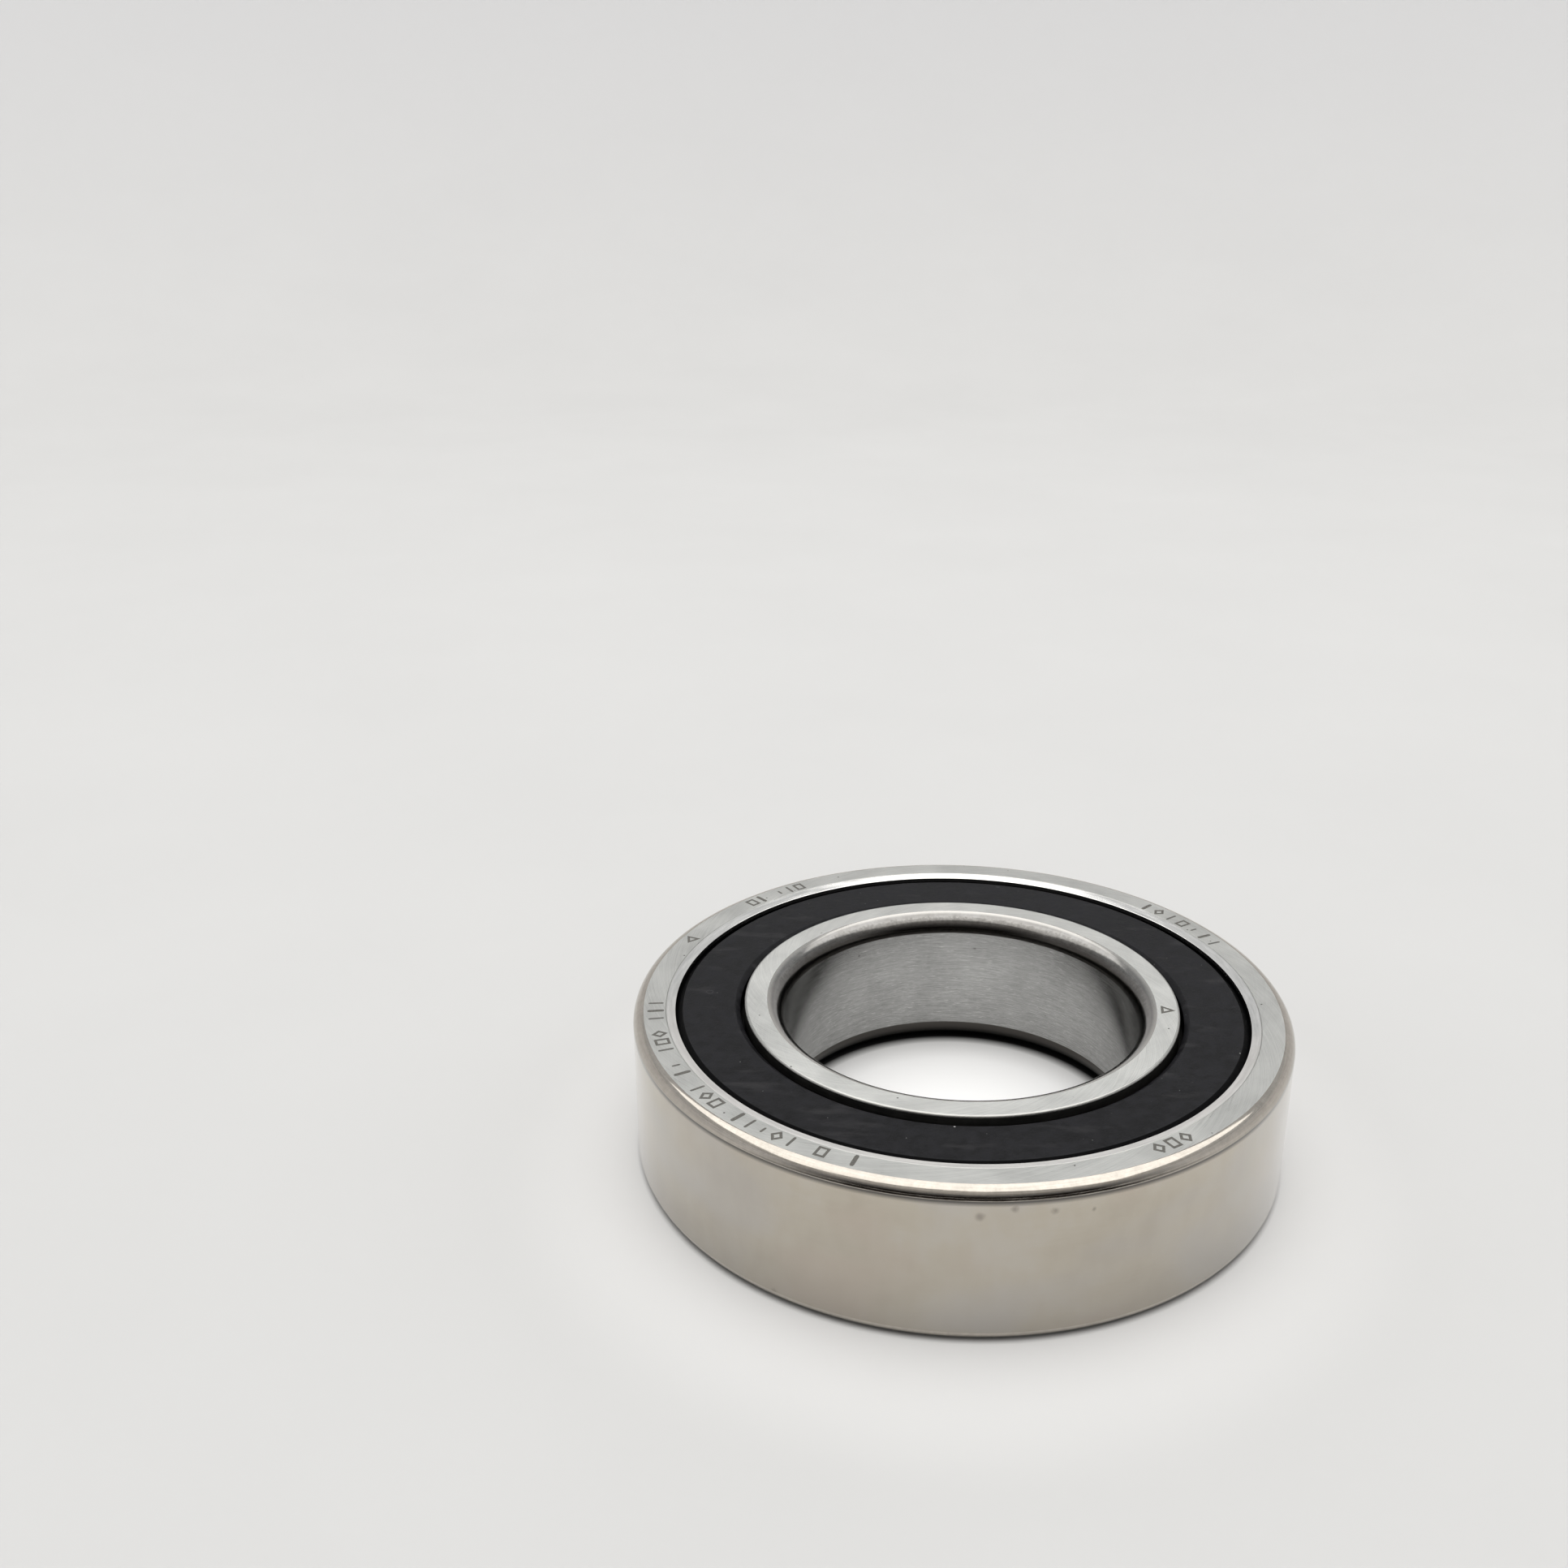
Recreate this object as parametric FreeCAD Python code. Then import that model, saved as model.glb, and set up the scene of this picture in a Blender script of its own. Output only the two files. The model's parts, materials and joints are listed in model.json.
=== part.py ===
import FreeCAD, Part
import math
import os

# Sealed single-row angular contact ball bearing, 30 x 55 x 13 mm, contact angle 15 degrees.
#
# The bearing lies flat. Its axis is +Z and the origin is the centre of the lower face.
# The balls bear on the outer ring towards its upper face, which is its wide or thrust face,
# and on the inner ring towards its lower face.
# All lengths are in mm. A depth is measured into the bearing from the nearer face.

# Boundary dimensions
BORE_D = 30.0
OUTSIDE_D = 55.0
WIDTH = 13.0

# Rolling set
BALL_D = 6.35
BALL_COUNT = 16
PITCH_D = 42.5
BALL_HEIGHT = WIDTH / 2
CONTACT_ANGLE = math.radians(15.0)
RACE_CLEARANCE = 0.05

# Raceways: groove radii just over half a ball, so that the ball touches on a small ellipse
OUTER_GROOVE_R = 0.525 * BALL_D
INNER_GROOVE_R = 0.515 * BALL_D
INNER_SHOULDER_R = 19.75
OUTER_SHOULDER_R = 22.8
COUNTERBORE_R = 24.25

# Rounded chamfers, which let the rings seat against shaft and housing shoulders
OUTSIDE_CHAMFER = 0.87
BORE_CHAMFER_RADIAL = 1.35
BORE_CHAMFER_AXIAL_UPPER = 1.65
BORE_CHAMFER_AXIAL_LOWER = 1.90
CHAMFER_BULGE = 0.36
EDGE_BREAK = 0.15

# Seal seats: a plain land on the inner ring, a snap-in groove in the outer ring
SEAL_LAND_R = 18.25
SEAL_LAND_DEPTH = 2.40
FACE_INNER_R = 24.65
LIP_CREASE_R = 24.45
LIP_CREASE_DEPTH = 0.09
LIP_R = 24.0
LIP_TOP_DEPTH = 0.20
LIP_BOTTOM_DEPTH = 0.60
SEAL_GROOVE_R = 24.95
SEAL_GROOVE_TOP_DEPTH = 1.10
SEAL_LEDGE_DEPTH = 2.05

# Seal: rubber moulded on a pressed sheet steel insert
SEAL_FACE_DEPTH = 0.35
SEAL_LIP_R = 18.60
SEAL_LIP_TOP_DEPTH = 0.70
SEAL_LIP_END_DEPTH = 1.90
SEAL_FLAT_INNER_R = 19.05
SEAL_FLAT_OUTER_R = 23.40
SEAL_BEVEL_END_R = 23.95
SEAL_BEVEL_END_DEPTH = 0.85
SEAL_BEAD_TOP_DEPTH = 1.30
SEAL_BEAD_FOOT_R = 23.55
SHEET = 0.40
INSERT_INNER_R = 19.20
INSERT_OUTER_R = 24.50
INSERT_TOP_DEPTH = 1.10
INSERT_JOG_START_R = 23.20
INSERT_JOG_RUN = 0.45

# Cage: one piece of phenolic resin, guided on the outer ring's shoulder
CAGE_OUTSIDE_R = 22.6
CAGE_INSIDE_R = 20.1
CAGE_WIDTH = 8.3
CAGE_EDGE = 0.25
POCKET_CLEARANCE = 0.15

ORIGIN = FreeCAD.Vector(0, 0, 0)
AXIS = FreeCAD.Vector(0, 0, 1)


def point(radius, height):
    """Point of a half section, drawn in the XZ plane."""
    return FreeCAD.Vector(radius, 0, height)


def upper_point(radius, depth):
    """Point of a half section at a depth below the upper face."""
    return point(radius, WIDTH - depth)


def turned(outline):
    """Ring turned from a closed half section.

    An item of the outline is its next corner, or a pair (way point, end) for an arc.
    """
    edges = []
    here = outline[0]
    for item in outline[1:] + outline[:1]:
        if isinstance(item, tuple):
            way_point, end = item
            edges.append(Part.Arc(here, way_point, end).toShape())
        else:
            end = item
            edges.append(Part.LineSegment(here, end).toShape())
        here = end
    return Part.Face(Part.Wire(edges)).revolve(ORIGIN, AXIS, 360)


def rounded(start, end, corner):
    """Arc of a rounded chamfer from start to end, bulging towards the sharp corner it removes."""
    middle = (start + end) * 0.5
    return (middle + (corner - middle) * CHAMFER_BULGE, end)


def groove_centre(groove_r, side):
    """Centre of a raceway's circle: side is 1 for the outer ring and -1 for the inner ring.

    The centre is set back along the contact line, so that the ball comes nearest to the groove there.
    """
    set_back = side * (groove_r - BALL_D / 2 - RACE_CLEARANCE)
    return point(
        PITCH_D / 2 - set_back * math.cos(CONTACT_ANGLE),
        BALL_HEIGHT - set_back * math.sin(CONTACT_ANGLE),
    )


def groove_edge(centre, groove_r, shoulder_r, up):
    """Point where a raceway runs out at a shoulder: up is 1 for the upper side, -1 for the lower."""
    rise = math.sqrt(groove_r**2 - (shoulder_r - centre.x) ** 2)
    return point(shoulder_r, centre.z + up * rise)


def outer_ring():
    """Outer ring: high upper shoulder, counterbored lower side, a seal groove near each face."""
    outside_r = OUTSIDE_D / 2
    chamfer_r = outside_r - OUTSIDE_CHAMFER
    centre = groove_centre(OUTER_GROOVE_R, 1)
    groove_bottom = point(centre.x + OUTER_GROOVE_R, centre.z)
    seal_seat = [
        (FACE_INNER_R, 0),
        (LIP_CREASE_R, LIP_CREASE_DEPTH),
        (LIP_R, LIP_TOP_DEPTH),
        (LIP_R, LIP_BOTTOM_DEPTH),
        (SEAL_GROOVE_R, SEAL_GROOVE_TOP_DEPTH),
        (SEAL_GROOVE_R, SEAL_LEDGE_DEPTH),
    ]
    upper_seat = [upper_point(radius, depth) for radius, depth in seal_seat]
    lower_seat = [point(radius, depth) for radius, depth in reversed(seal_seat)]
    return turned([
        point(chamfer_r, 0),
        rounded(point(chamfer_r, 0), point(outside_r, OUTSIDE_CHAMFER), point(outside_r, 0)),
        upper_point(outside_r, OUTSIDE_CHAMFER),
        rounded(upper_point(outside_r, OUTSIDE_CHAMFER), upper_point(chamfer_r, 0), upper_point(outside_r, 0)),
        *upper_seat,
        upper_point(OUTER_SHOULDER_R + EDGE_BREAK, SEAL_LEDGE_DEPTH),
        upper_point(OUTER_SHOULDER_R, SEAL_LEDGE_DEPTH + EDGE_BREAK),
        groove_edge(centre, OUTER_GROOVE_R, OUTER_SHOULDER_R, 1),
        (groove_bottom, groove_edge(centre, OUTER_GROOVE_R, COUNTERBORE_R, -1)),
        point(COUNTERBORE_R, SEAL_LEDGE_DEPTH),
        *lower_seat,
    ])


def inner_ring():
    """Inner ring: two equal shoulders, a plain seal land at each side, large bore chamfers."""
    bore_r = BORE_D / 2
    chamfer_r = bore_r + BORE_CHAMFER_RADIAL
    centre = groove_centre(INNER_GROOVE_R, -1)
    groove_bottom = point(centre.x - INNER_GROOVE_R, centre.z)
    lower_bore_edge = point(bore_r, BORE_CHAMFER_AXIAL_LOWER)
    seal_land = [
        (SEAL_LAND_R - EDGE_BREAK, 0),
        (SEAL_LAND_R, EDGE_BREAK),
        (SEAL_LAND_R, SEAL_LAND_DEPTH),
        (INNER_SHOULDER_R - EDGE_BREAK, SEAL_LAND_DEPTH),
        (INNER_SHOULDER_R, SEAL_LAND_DEPTH + EDGE_BREAK),
    ]
    lower_land = [point(radius, depth) for radius, depth in seal_land]
    upper_land = [upper_point(radius, depth) for radius, depth in reversed(seal_land)]
    return turned([
        lower_bore_edge,
        rounded(lower_bore_edge, point(chamfer_r, 0), point(bore_r, 0)),
        *lower_land,
        groove_edge(centre, INNER_GROOVE_R, INNER_SHOULDER_R, -1),
        (groove_bottom, groove_edge(centre, INNER_GROOVE_R, INNER_SHOULDER_R, 1)),
        *upper_land,
        upper_point(chamfer_r, 0),
        rounded(
            upper_point(chamfer_r, 0),
            upper_point(bore_r, BORE_CHAMFER_AXIAL_UPPER),
            upper_point(bore_r, 0),
        ),
    ])


def ball_direction(number):
    """Unit vector from the axis towards a ball, number 0 being on +X."""
    angle = 2 * math.pi * number / BALL_COUNT
    return FreeCAD.Vector(math.cos(angle), math.sin(angle), 0)


def ball(number):
    """Ceramic ball on the pitch circle."""
    centre = ball_direction(number) * (PITCH_D / 2) + AXIS * BALL_HEIGHT
    return Part.makeSphere(BALL_D / 2, centre)


def cage():
    """Ring between the raceways, with a round pocket for each ball drilled towards the axis."""
    low = BALL_HEIGHT - CAGE_WIDTH / 2
    high = BALL_HEIGHT + CAGE_WIDTH / 2
    blank = turned([
        point(CAGE_INSIDE_R + CAGE_EDGE, low),
        point(CAGE_OUTSIDE_R - CAGE_EDGE, low),
        point(CAGE_OUTSIDE_R, low + CAGE_EDGE),
        point(CAGE_OUTSIDE_R, high - CAGE_EDGE),
        point(CAGE_OUTSIDE_R - CAGE_EDGE, high),
        point(CAGE_INSIDE_R + CAGE_EDGE, high),
        point(CAGE_INSIDE_R, high - CAGE_EDGE),
        point(CAGE_INSIDE_R, low + CAGE_EDGE),
    ])
    pocket_r = BALL_D / 2 + POCKET_CLEARANCE
    pocket_start_r = CAGE_INSIDE_R - pocket_r
    pocket_length = CAGE_OUTSIDE_R + pocket_r - pocket_start_r
    pockets = []
    for number in range(BALL_COUNT):
        direction = ball_direction(number)
        start = direction * pocket_start_r + AXIS * BALL_HEIGHT
        pockets.append(Part.makeCylinder(pocket_r, pocket_length, start, direction))
    return blank.cut(pockets)


def seal_insert():
    """Upper seal's stiffener: a flat ring with its inner edge turned down and its rim set lower."""
    flat_bottom = INSERT_TOP_DEPTH + SHEET
    rim_bottom = flat_bottom + SHEET
    jog_end_r = INSERT_JOG_START_R + INSERT_JOG_RUN
    return turned([
        upper_point(INSERT_INNER_R, INSERT_TOP_DEPTH),
        upper_point(INSERT_JOG_START_R + EDGE_BREAK, INSERT_TOP_DEPTH),
        upper_point(jog_end_r + EDGE_BREAK, flat_bottom),
        upper_point(INSERT_OUTER_R, flat_bottom),
        upper_point(INSERT_OUTER_R, rim_bottom),
        upper_point(jog_end_r, rim_bottom),
        upper_point(INSERT_JOG_START_R, flat_bottom),
        upper_point(INSERT_INNER_R + SHEET, flat_bottom),
        upper_point(INSERT_INNER_R + SHEET, rim_bottom),
        upper_point(INSERT_INNER_R, rim_bottom),
    ])


def seal_rubber():
    """Upper seal's rubber: a flat face between two bevels, a free lip and a bead in the seal groove."""
    flat_bottom = INSERT_TOP_DEPTH + SHEET
    moulding = turned([
        upper_point(SEAL_LIP_R, SEAL_LIP_TOP_DEPTH),
        upper_point(SEAL_FLAT_INNER_R, SEAL_FACE_DEPTH),
        upper_point(SEAL_FLAT_OUTER_R, SEAL_FACE_DEPTH),
        upper_point(SEAL_BEVEL_END_R, SEAL_BEVEL_END_DEPTH),
        upper_point(SEAL_GROOVE_R, SEAL_BEAD_TOP_DEPTH),
        upper_point(SEAL_GROOVE_R, SEAL_LEDGE_DEPTH),
        upper_point(SEAL_BEAD_FOOT_R, SEAL_LEDGE_DEPTH),
        upper_point(INSERT_JOG_START_R, flat_bottom),
        upper_point(INSERT_INNER_R + SHEET, flat_bottom),
        upper_point(INSERT_INNER_R + SHEET, SEAL_LIP_END_DEPTH),
        upper_point(SEAL_LIP_R + EDGE_BREAK, SEAL_LIP_END_DEPTH),
        upper_point(SEAL_LIP_R, SEAL_LIP_END_DEPTH - EDGE_BREAK),
    ])
    return moulding.cut(seal_insert())


def turned_over(shape):
    """The same piece fitted at the lower face, half a turn about a cross axis at mid-width."""
    copy = shape.copy()
    copy.rotate(FreeCAD.Vector(0, 0, WIDTH / 2), FreeCAD.Vector(1, 0, 0), 180)
    return copy


def build_nodes():
    """Every separate piece of the bearing, by name."""
    nodes = {
        "outer_ring": outer_ring(),
        "inner_ring": inner_ring(),
        "cage": cage(),
        "upper_seal_rubber": seal_rubber(),
        "upper_seal_insert": seal_insert(),
        "lower_seal_rubber": turned_over(seal_rubber()),
        "lower_seal_insert": turned_over(seal_insert()),
    }
    for number in range(BALL_COUNT):
        nodes[f"ball_{number + 1:02d}"] = ball(number)
    return nodes


os.makedirs("parts", exist_ok=True)
for name, shape in build_nodes().items():
    shape.exportStep(f"parts/{name}.step")
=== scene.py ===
import json
import math

import bmesh
import bpy
from mathutils import Matrix, Vector


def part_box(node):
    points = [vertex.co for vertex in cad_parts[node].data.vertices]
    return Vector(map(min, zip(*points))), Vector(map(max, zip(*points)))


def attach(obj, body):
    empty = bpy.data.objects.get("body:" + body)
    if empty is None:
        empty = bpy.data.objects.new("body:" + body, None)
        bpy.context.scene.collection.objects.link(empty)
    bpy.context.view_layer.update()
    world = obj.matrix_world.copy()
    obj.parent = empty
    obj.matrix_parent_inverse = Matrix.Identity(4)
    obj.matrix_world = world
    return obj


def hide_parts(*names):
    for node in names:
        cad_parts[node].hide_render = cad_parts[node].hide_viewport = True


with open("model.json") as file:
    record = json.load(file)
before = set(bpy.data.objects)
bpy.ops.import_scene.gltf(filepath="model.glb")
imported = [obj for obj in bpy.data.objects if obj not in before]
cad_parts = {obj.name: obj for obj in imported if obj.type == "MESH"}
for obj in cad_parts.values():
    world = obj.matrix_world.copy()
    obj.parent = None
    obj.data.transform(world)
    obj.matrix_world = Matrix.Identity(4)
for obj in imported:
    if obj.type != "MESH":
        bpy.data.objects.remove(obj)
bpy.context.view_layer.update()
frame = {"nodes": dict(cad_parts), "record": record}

# Lengths are in mm unless a name says otherwise; MM turns them into Blender's metres.
MM = 0.001
TURN_STEPS = 288
ARC_STEPS = 18
SHARP_ANGLE = math.radians(24)
# Corner radii: of every corner, and of the corners of the seals' faces
EDGE = 0.035
RUBBER_EDGE = 0.06
# A corner takes at most this share of a span. Beside it, a guard edge keeps the shading flat.
LARGEST_CORNER_SHARE = 0.2
GUARD_EDGES = 1.6


def mount_size(name, key):
    """A dimension of one of the record's mounts, in mm."""
    mounts = {mount["name"]: mount for mount in frame["record"]["mounts"]}
    return mounts[name]["dims"][key]


# Main sizes, from the frame
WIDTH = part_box("outer_ring")[1].z / MM
OUTSIDE_R = mount_size("housing_seat", "r_mm")
BORE_R = mount_size("shaft_bore", "r_mm")
INNER_SHOULDER_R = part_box("inner_ring")[1].x / MM
SEAL_GROOVE_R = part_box("upper_seal_rubber")[1].x / MM
SEAL_FACE_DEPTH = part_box("lower_seal_rubber")[0].z / MM
SEAL_LEDGE_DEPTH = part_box("lower_seal_rubber")[1].z / MM
CAGE_OUTSIDE_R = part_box("cage")[1].x / MM
BALL_LOW, BALL_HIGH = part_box("ball_01")
BALL_R = (BALL_HIGH.x - BALL_LOW.x) / 2 / MM
BALL_CENTRE = Vector(((BALL_LOW.x + BALL_HIGH.x) / 2 / MM, (BALL_LOW.z + BALL_HIGH.z) / 2 / MM))
OUTSIDE_CHAMFER = (WIDTH - mount_size("housing_seat", "length_mm")) / 2

# Details of the sections
CHAMFER_BULGE = 0.36
BORE_CHAMFER_RADIAL = 1.35
BORE_CHAMFER_UPPER = 1.65
BORE_CHAMFER_LOWER = WIDTH - mount_size("shaft_bore", "length_mm") - BORE_CHAMFER_UPPER
EDGE_BREAK = 0.15
LAND_EDGE = 0.20
RACE_CLEARANCE = 0.05
CONTACT_ANGLE = math.radians(15)
OUTER_GROOVE_R = 0.525 * 2 * BALL_R
INNER_GROOVE_R = 0.515 * 2 * BALL_R
OUTER_SHOULDER_R = CAGE_OUTSIDE_R + 0.2
COUNTERBORE_R = 24.25
SEAL_LAND_R = 18.25
SEAL_LAND_DEPTH = 2.40
# The outer ring's faces end 0.17 further out here than in the CAD part, at a scribed line
FACE_INNER_R = 24.82
LINE_WIDTH = 0.08
LINE_DEPTH = 0.045
LINE_INNER_DEPTH = 0.02
LIP_CREASE_R = 24.45
LIP_CREASE_DEPTH = 0.09
LIP_R = 24.0
LIP_TOP_DEPTH = 0.20
LIP_BOTTOM_DEPTH = 0.60
SEAL_GROOVE_TOP_DEPTH = 1.10

# Seal: rubber moulded on a pressed sheet steel insert
SEAL_LIP_R = 18.60
SEAL_LIP_TOP_DEPTH = 0.70
SEAL_FLAT_INNER_R = 19.05
SEAL_FLAT_OUTER_R = 23.40
SEAL_BEVEL_END_R = 23.95
SEAL_BEVEL_END_DEPTH = 0.85
SEAL_BEAD_TOP_DEPTH = 1.30
SEAL_BEAD_FOOT_R = 23.55
SEAL_BEAD_TAPER_R = 23.468
SHEET = 0.40
INSERT_INNER_R = 19.20
INSERT_TOP_DEPTH = 1.10
INSERT_JOG_START_R = 23.20
INSERT_JOG_RUN = 0.45


def at_face(radius, depth, side):
    """Section point at a depth below a face: side is 1 for the upper face and -1 for the lower."""
    return Vector((radius, WIDTH - depth if side > 0 else depth))


def turned_to(radius, angle, height):
    """Point at a radius, an angle in radians and a height."""
    return (radius * math.cos(angle), radius * math.sin(angle), height)


def circle_through(start, way, end, steps):
    """Points of the arc from start over way to end, without start."""
    ax, ay = way - start
    bx, by = end - start
    double_area = 2 * (ax * by - ay * bx)
    a_squared = ax * ax + ay * ay
    b_squared = bx * bx + by * by
    centre = start + Vector((by * a_squared - ay * b_squared, ax * b_squared - bx * a_squared)) / double_area
    radius = (start - centre).length
    first = math.atan2(start.y - centre.y, start.x - centre.x)
    full = 2 * math.pi
    turn_way = (math.atan2(way.y - centre.y, way.x - centre.x) - first) % full
    turn_end = (math.atan2(end.y - centre.y, end.x - centre.x) - first) % full
    if turn_way > turn_end:
        turn_end -= full
    angles = [first + turn_end * step / steps for step in range(1, steps + 1)]
    return [centre + radius * Vector((math.cos(angle), math.sin(angle))) for angle in angles]


class Section:
    """Closed half section of a turned ring, drawn span by span. Every span has a finish.

    The first span starts where the last one ends.
    """

    def __init__(self):
        self.steps = []

    def line(self, end, finish, edge=EDGE):
        """Straight span. edge is how far before the end its corner starts to round."""
        self.steps.append((end, finish, edge))

    def arc(self, way, end, finish):
        """Arc span over a way point, after another span."""
        here = self.steps[-1][0]
        *inside, last = circle_through(here, way, end, ARC_STEPS)
        self.steps += [(point, finish, 0) for point in inside]
        self.steps.append((last, finish, EDGE))

    def chamfer(self, end, corner, finish):
        """Rounded chamfer that bulges towards the sharp corner it removes."""
        middle = (self.steps[-1][0] + end) / 2
        self.arc(middle + (corner - middle) * CHAMFER_BULGE, end, finish)

    def outline(self):
        """(point, finish of the span before it) all round, with small radii in the corners."""
        made = []
        for number, (here, finish, edge) in enumerate(self.steps):
            after, next_finish, _ = self.steps[(number + 1) % len(self.steps)]
            before = self.steps[number - 1][0]
            back, ahead = before - here, after - here
            edge = min(edge, LARGEST_CORNER_SHARE * back.length, LARGEST_CORNER_SHARE * ahead.length)
            if edge == 0:
                made.append((here, finish))
                continue
            start, end = here + back.normalized() * edge, here + ahead.normalized() * edge
            made.append((here + back.normalized() * edge * GUARD_EDGES, finish))
            for share in (0, 0.25, 0.5, 0.75, 1):
                bend = start * (1 - share) ** 2 + here * 2 * share * (1 - share) + end * share**2
                made.append((bend, finish if share <= 0.5 else next_finish))
            made.append((here + ahead.normalized() * edge * GUARD_EDGES, next_finish))
        return made


def mesh_object(name, vertices, faces, finishes, face_finishes=None):
    """Object from vertices in mm, smooth but for its sharp edges, with closed outward faces."""
    mesh = bpy.data.meshes.new(name)
    mesh.from_pydata([Vector(vertex) * MM for vertex in vertices], [], faces)
    for finish in finishes:
        mesh.materials.append(MATERIALS[finish])
    if face_finishes:
        mesh.polygons.foreach_set("material_index", [finishes.index(finish) for finish in face_finishes])
    shell = bmesh.new()
    shell.from_mesh(mesh)
    bmesh.ops.recalc_face_normals(shell, faces=shell.faces)
    shell.to_mesh(mesh)
    shell.free()
    mesh.shade_smooth()
    mesh.set_sharp_from_angle(angle=SHARP_ANGLE)
    made = bpy.data.objects.new(name, mesh)
    bpy.context.scene.collection.objects.link(made)
    return made


def lathe(name, section):
    """Ring turned about the bearing's axis from a half section."""
    outline = section.outline()
    count = len(outline)
    vertices = []
    for step in range(TURN_STEPS):
        angle = 2 * math.pi * step / TURN_STEPS
        vertices += [turned_to(point.x, angle, point.y) for point, _ in outline]
    faces, face_finishes = [], []
    for step in range(TURN_STEPS):
        here, after = step * count, (step + 1) % TURN_STEPS * count
        for low in range(count):
            high = (low + 1) % count
            faces.append((here + low, after + low, after + high, here + high))
            face_finishes.append(outline[high][1])
    return mesh_object(name, vertices, faces, sorted(set(face_finishes)), face_finishes)


# ---------------------------------------------------------------- materials

# Azimuth in degrees, height and radius of each stain on the outside diameter
OUTSIDE_STAINS = [
    (274, 10.9, 0.42),
    (279, 11.5, 0.34),
    (285, 11.1, 0.38),
    (291, 10.8, 0.2),
    (242, 0.9, 0.35),
]
# Painted dark reflection in a band at the top of the outside diameter: where it starts and is full, below the
# chamfer
DARK_REFLECTION_START = 0.45
DARK_REFLECTION_FULL = 0.1
# Depths below a face on the bore chamfer: the dark heat tint with painted dark reflection starts and is full,
# the bright edge of wear with painted highlight ends and is full
TINT_AND_REFLECTION_START = 0.30
TINT_AND_REFLECTION_FULL = 0.95
WEAR_AND_HIGHLIGHT_END = 0.14
WEAR_AND_HIGHLIGHT_FULL = 0.01
# Mould pips on the seal: cells per mm and radius of each ring
PIP_CELLS = 0.30
PIP_R = 0.3
# Painted pool of light on the floor close to the bearing, against its contact shadow: its middle, and where
# it starts to fade and is gone
LIGHT_POOL_MIDDLE = (0, -2, 0)
LIGHT_POOL_FULL_R = 24.0
LIGHT_POOL_END_R = 42.0
# The dark cloth's direction from the bearing and half its spread
CARD_AZIMUTH = math.radians(277)
CARD_HALF_ANGLE = math.radians(68)


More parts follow.
